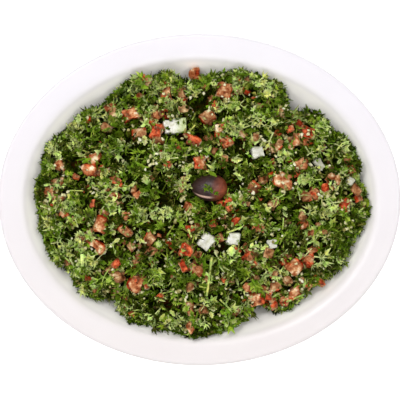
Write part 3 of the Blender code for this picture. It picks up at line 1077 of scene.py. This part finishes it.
def roughened(shape, cuts, rounding, swell, rough, seed):
    """Rounds the edges of a bmesh, bends its faces and makes them uneven."""
    bmesh.ops.triangulate(shape, faces=shape.faces[:])
    bmesh.ops.subdivide_edges(shape, edges=shape.edges[:], cuts=cuts, use_grid_fill=True)
    for _ in range(rounding):
        bmesh.ops.smooth_vert(
            shape, verts=shape.verts, factor=0.5, use_axis_x=True, use_axis_y=True, use_axis_z=True
        )
    shape.normal_update()
    stray = Vector((seed * 3.1, seed * 1.7, 0))
    for vertex in shape.verts:
        large = swell * noise.noise(vertex.co * 170 + stray)
        small = rough * noise.fractal(vertex.co * 520 + stray, 0.8, 2.0, 3)
        vertex.co += vertex.normal * (large + small)
    shape.normal_update()
    bmesh.ops.triangulate(shape, faces=shape.faces[:])
    return shape


def refined(node, cuts, rounding, swell, rough, seed):
    """A seated piece's shape with softer edges and uneven faces, as a bmesh."""
    shape = bmesh.new()
    shape.from_mesh(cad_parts[node].data)
    bmesh.ops.remove_doubles(shape, verts=shape.verts, dist=1e-6)
    bmesh.ops.dissolve_limit(shape, angle_limit=0.02, verts=shape.verts, edges=shape.edges)
    return roughened(shape, cuts, rounding, swell, rough, seed)


def shape_arrays(shape):
    """Points, normals and triangles of a bmesh, which is freed."""
    shape.verts.ensure_lookup_table()
    points = np.array([v.co for v in shape.verts])
    normals = np.array([v.normal for v in shape.verts])
    triangles = np.array([[v.index for v in face.verts] for face in shape.faces])
    shape.free()
    return points, normals, triangles


def skin_side(up_share):
    """A direction for a dice's skin: level, or upwards by a share."""
    bearing = rng.uniform(0, 2 * math.pi)
    side = np.array([math.cos(bearing), math.sin(bearing), 0]) * (1 - up_share) + np.array([0, 0, up_share])
    return side / np.linalg.norm(side)


RED_PIECES = ("tomato_07", "tomato_10", "tomato_17", "tomato_18", "tomato_19")
BROWN_PIECES = ("tomato_06", "tomato_09", "tomato_13", "tomato_24", "tomato_26")


def make_tomato_chunks(material):
    for number, node in enumerate(n for n in TOPPINGS if n.startswith("tomato")):
        points, normals, triangles = shape_arrays(refined(node, 4, 2, 0.0024, 0.00035, number))
        side = skin_side(0.75 if node in RED_PIECES else 0.22)
        skin = np.clip(3 * normals @ side - 1.2, 0, 1)
        tone = np.full(len(points), 0.3 if node in BROWN_PIECES else rng.uniform(0.5, 1))
        shades = {"skin": skin, "tone": tone}
        name = node.replace("tomato", "tomato_chunk")
        chunk = mesh_piece(name, points, triangles, material, shades)
        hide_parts(node)


# Further dice: place, size and redness, where 0 is brown flesh, 0.5 salmon and 1 red skin on top.
DICE = (
    (-0.0285, 0.0533, 0.0050, 0.5), (-0.0031, 0.0810, 0.0082, 0.7), (-0.0372, 0.0780, 0.0068, 1.0),
    (-0.0543, 0.0125, 0.0066, 0.6), (-0.0547, 0.0024, 0.0066, 0.3), (-0.0884, 0.0103, 0.0068, 0.5),
    (0.0357, 0.0386, 0.0064, 0.2), (0.0638, 0.0489, 0.0060, 1.0), (0.0602, 0.0378, 0.0058, 0.5),
    (0.0144, 0.0219, 0.0052, 0.9), (0.0946, 0.0251, 0.0072, 0.8), (0.0836, 0.0109, 0.0062, 0.5),
    (0.1025, 0.0006, 0.0064, 1.0), (-0.0547, -0.0420, 0.0055, 0.5), (-0.0584, -0.0075, 0.0066, 0.9),
    (-0.0031, -0.0442, 0.0078, 0.8), (-0.0689, -0.0584, 0.0062, 0.3), (-0.0053, -0.0741, 0.0064, 0.5),
    (-0.0876, -0.0090, 0.0066, 0.5), (-0.0008, -0.0172, 0.0058, 0.3), (0.0235, -0.0126, 0.0062, 1.0),
    (0.0662, -0.0165, 0.0064, 0.9), (0.0662, -0.0383, 0.0080, 0.8), (0.0480, -0.0454, 0.0066, 0.4),
    (0.0476, -0.0675, 0.0064, 1.0), (0.0219, -0.0723, 0.0066, 0.9), (0.0780, -0.0537, 0.0068, 1.0),
    (0.0702, -0.0552, 0.0062, 0.8), (0.0314, -0.0359, 0.0072, 0.9), (-0.0958, 0.0048, 0.0055, 0.3),
)
SCRAP_SIZE = 0.0041  # dice smaller than this are thin and lie lower
PLAIN_SIZE = 0.0036  # and these have plainer faces
DICE_INSET = (0.005, 0.008)  # how far the strewn ones keep inside the heap's outline


def cut_dice(size, cuts, seed):
    """A cut block of about this size, with sloping uneven sides, as a bmesh."""
    shape = bmesh.new()
    bmesh.ops.create_cube(shape, size=1)
    thin = 0.5 if size < SCRAP_SIZE else 1
    stretch = rng.uniform((0.75, 0.6, 0.55 * thin), (1.1, 0.9, 0.8 * thin)) * size
    for vertex in shape.verts:
        vertex.co = Vector(np.array(vertex.co) * stretch * rng.uniform(0.78, 1.1, 3))
    return roughened(shape, cuts, 1 if cuts > 1 else 0, 0.0018, 0.0003, seed)


def about_tomatoes(count, spread):
    """Places gathered about the dice and the tomato pieces, clear of the seated pieces."""
    pieces = OVALS[[n.startswith("tomato") for n in TOPPINGS], :2]
    anchors = np.concatenate([pieces, [dice[:2] for dice in DICE]])
    spots = anchors[rng.integers(0, len(anchors), count)] + rng.normal(0, spread, (count, 2))
    return spots[inside_edge(spots, 0.004) & clear_of_toppings(spots, 0.0006)]


def dice_spots(alone, margin, gathered, spread):
    """Places for strewn dice: some anywhere, the rest gathered about the tomato pieces."""
    anywhere, _, _ = loose_places(alone, (0, 0), margin, inset=DICE_INSET)
    return [*anywhere[:, :2], *about_tomatoes(gathered, spread)]


def make_tomato_dice(material):
    """The smaller dice at their places, then strewn dice, scraps, and dice under the leaves."""
    small = dice_spots(60, 0.001, 135, 0.0060)
    scraps = dice_spots(50, 0.0, 60, 0.0050)
    deep = dice_spots(110, 0.0, 170, 0.0060)
    wanted = list(DICE)
    for spots, size, reds in (
        (small, (0.0044, 0.0078), (0.1, 0.15, 0.3, 0.5, 0.8, 1.0)),
        (scraps, (0.0022, 0.0040), (0.0, 0.05, 0.2, 0.7, 1.0, 1.0)),
        (deep, (0.0030, 0.0058), (0.0, 0.1, 1.0, 1.0)),
    ):
        wanted += [(x, y, rng.uniform(*size), rng.choice(reds)) for x, y in spots]
    in_sight = len(wanted) - len(deep)
    parts, tones = [], []
    for number, (x, y, size, red) in enumerate(wanted):
        met = drop_on(HEAP, x, y)
        if met is None:
            continue
        shape = cut_dice(size, 3 if size > PLAIN_SIZE and number < in_sight else 1, number)
        points, normals, triangles = shape_arrays(shape)
        frames = spin_frames(np.array([met[1]]), 0.35)[0]
        side = skin_side(0.8 if red == 1 else 0.2) @ frames.T
        skin = np.clip(3 * normals @ side - 1.2, 0, 1) * (red > 0.55)
        tones.append(np.full(len(points), np.clip(2 * red, 0, 1) * rng.uniform(0.35, 1)))
        sink = rng.uniform(-0.25, 0.15) * size + CLUMP_RISE * max(clump(x, y), -0.3)
        if size < SCRAP_SIZE:
            sink -= rng.uniform(0, 0.0028)
        if number >= in_sight:
            sink -= rng.uniform(0.0014, 0.0034)
        parts.append((points @ frames + (x, y, met[0] + sink), triangles, skin))
    points, triangles, skins = joined(parts)
    shades = {"skin": skins, "tone": np.concatenate(tones)}
    mesh_piece("tomato_dice", points, triangles, material, shades)


# How light each onion piece is painted; the lower values are painted shade on the dimmer pieces.
ONION_SHADE_TONES = (0.97, 0.9, 0.82, 0.88, 0.72, 0.42, 0.5)


def make_onion_pieces():
    material = onion_finish()
    for number, node in enumerate(n for n in TOPPINGS if n.startswith("onion")):
        low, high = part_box(node)
        points, _, triangles = shape_arrays(refined(node, 4, 3, 0.0012, 0.0003, 40 + number))
        lean = 0.9 if node == "onion_01" else 0.15
        green = lean * np.clip(2.5 * (points[:, 0] - low.x) / (high.x - low.x) - 1.1, 0, 1)
        tone = ONION_SHADE_TONES[number] + 0.1 * np.array([noise.noise(Vector(p) * 260) for p in points])
        shades = {"green": green, "tone": np.clip(tone, 0, 1)}
        name = node.replace("onion", "onion_piece")
        piece = mesh_piece(name, points, triangles, material, shades)
        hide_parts(node)


# Of the olive, whose half length is 1. The slit's turn about its length is in degrees, its width in radians.
SLIT_TURN = 137
SLIT_WIDTH = 0.075
SLIT_MIDDLE = -0.32
SLIT_HALF_LENGTH = 0.46
SLIT_DEPTH = 0.05
PUCKER = 0.012


def make_olive():
    """The olive with its skin slightly puckered and a pink slit low on its near side."""
    low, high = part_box("olive")
    middle = (low + high) / 2
    half = (high - low) / 2
    around, steps = 64, 48
    turns = full_turn(around)
    rings, purple_and_shade, cut = [], [], []
    for step in range(1, steps):
        along = -math.cos(math.pi * step / steps)
        radius = math.sqrt(1 - along**2) * (1 + 0.10 * along)
        spots = [Vector((4 * along, 2 * math.cos(t), 2 * math.sin(t))) for t in turns]
        pucker = PUCKER * np.array([noise.noise(spot) for spot in spots])
        lip = np.exp(-(((turns - math.radians(SLIT_TURN)) / SLIT_WIDTH) ** 2))
        lip *= math.exp(-(((along - SLIT_MIDDLE) / SLIT_HALF_LENGTH) ** 4))
        reach = radius * (1 + pucker - SLIT_DEPTH * lip)
        ring = columns(np.full(around, along), reach * np.cos(turns), reach * np.sin(turns))
        rings.append(ring * (half.x, half.y, half.z) + np.array(middle))
        # Painted shade: the far side, towards +Y, is darker.
        far_side_shade = 0.7 * np.maximum(np.cos(turns) - 0.2, 0)
        purple_and_shade.append(np.clip(0.85 - 1.5 * (along - 0.12) + far_side_shade, 0, 1))
        cut.append(np.clip(1.3 * lip, 0, 1))
    start = np.array(middle) - (half.x, 0, 0)
    end = np.array(middle) + (half.x, 0, 0)
    points, triangles = capped_loft(rings, start, end)
    shades = {"purple_and_shade": np.concatenate([*purple_and_shade, [1.0, 0.0]]), "cut": np.concatenate([*cut, [0.0, 0.0]])}
    olive = mesh_piece("olive_whole", points, triangles, olive_finish(), shades)
    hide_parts("olive")


# ---- stage, light, camera


def make_stage():
    shape = bmesh.new()
    bmesh.ops.create_grid(shape, x_segments=2, y_segments=2, size=3)
    mesh = bpy.data.meshes.new("floor")
    shape.to_mesh(mesh)
    shape.free()
    finish = Finish("floor", 0.8)
    finish.colour(finish.ramp(finish.noise(3), (0.4, (0.90, 0.90, 0.90)), (0.6, (0.92, 0.92, 0.92))))
    finish.shader.inputs["Emission Color"].default_value = (1, 1, 1, 1)
    finish.shader.inputs["Emission Strength"].default_value = 0.55
    mesh.materials.append(finish.material)
    floor = placed("floor", mesh, (0, 0, -0.0002))


def add_light(name, place, size, power):
    data = bpy.data.lights.new(name, "AREA")
    data.shape = "DISK"
    data.size = size
    data.energy = power
    placed(name, data, place, Vector(place))


LAMP_SIZE = 0.8
# The side lamps: name, side in x and y, and power.
LAMPS = (
    ("left", -1, 0, 3.888),
    ("right", 1, 0, 4.896),
    ("back", 0, 1, 3.384),
    ("front", 0, -1, 5.112),
)


def make_light():
    world = bpy.data.worlds.new("studio")
    world.use_nodes = True
    background = world.node_tree.nodes["Background"]
    background.inputs["Color"].default_value = (1, 1, 1, 1)
    background.inputs["Strength"].default_value = 0.30
    bpy.context.scene.world = world
    add_light("key", (-0.35, 0.45, 1.2), 0.3, 4.8)
    for name, x, y, power in LAMPS:
        add_light(name, (0.8 * x, 0.8 * y, 1.2), LAMP_SIZE, power)


CAMERA_DISTANCE = 1.25
CAMERA_ELEVATION = math.radians(89.5)
DISH_SHARE = 1.008  # the dish's length over the picture's width
AIM = Vector((0.0003, -0.0004, DISH_HEIGHT))


def make_camera():
    data = bpy.data.cameras.new("camera")
    data.sensor_width = 36
    width = 2 * DISH_HALF_LENGTH / DISH_SHARE
    data.lens = data.sensor_width * CAMERA_DISTANCE / width
    back = Vector((0, -math.cos(CAMERA_ELEVATION), math.sin(CAMERA_ELEVATION)))
    bpy.context.scene.camera = placed("camera", data, AIM + back * CAMERA_DISTANCE, back)


make_dish()
make_core()
make_leaves()
make_fringe()
make_stems()
tomato = tomato_finish()
make_tomato_chunks(tomato)
make_tomato_dice(tomato)
make_onion_pieces()
make_olive()
make_bits_on_pieces()
make_grains()
make_skirt()
make_stage()
make_light()
make_camera()
bpy.context.scene.view_settings.view_transform = "Standard"
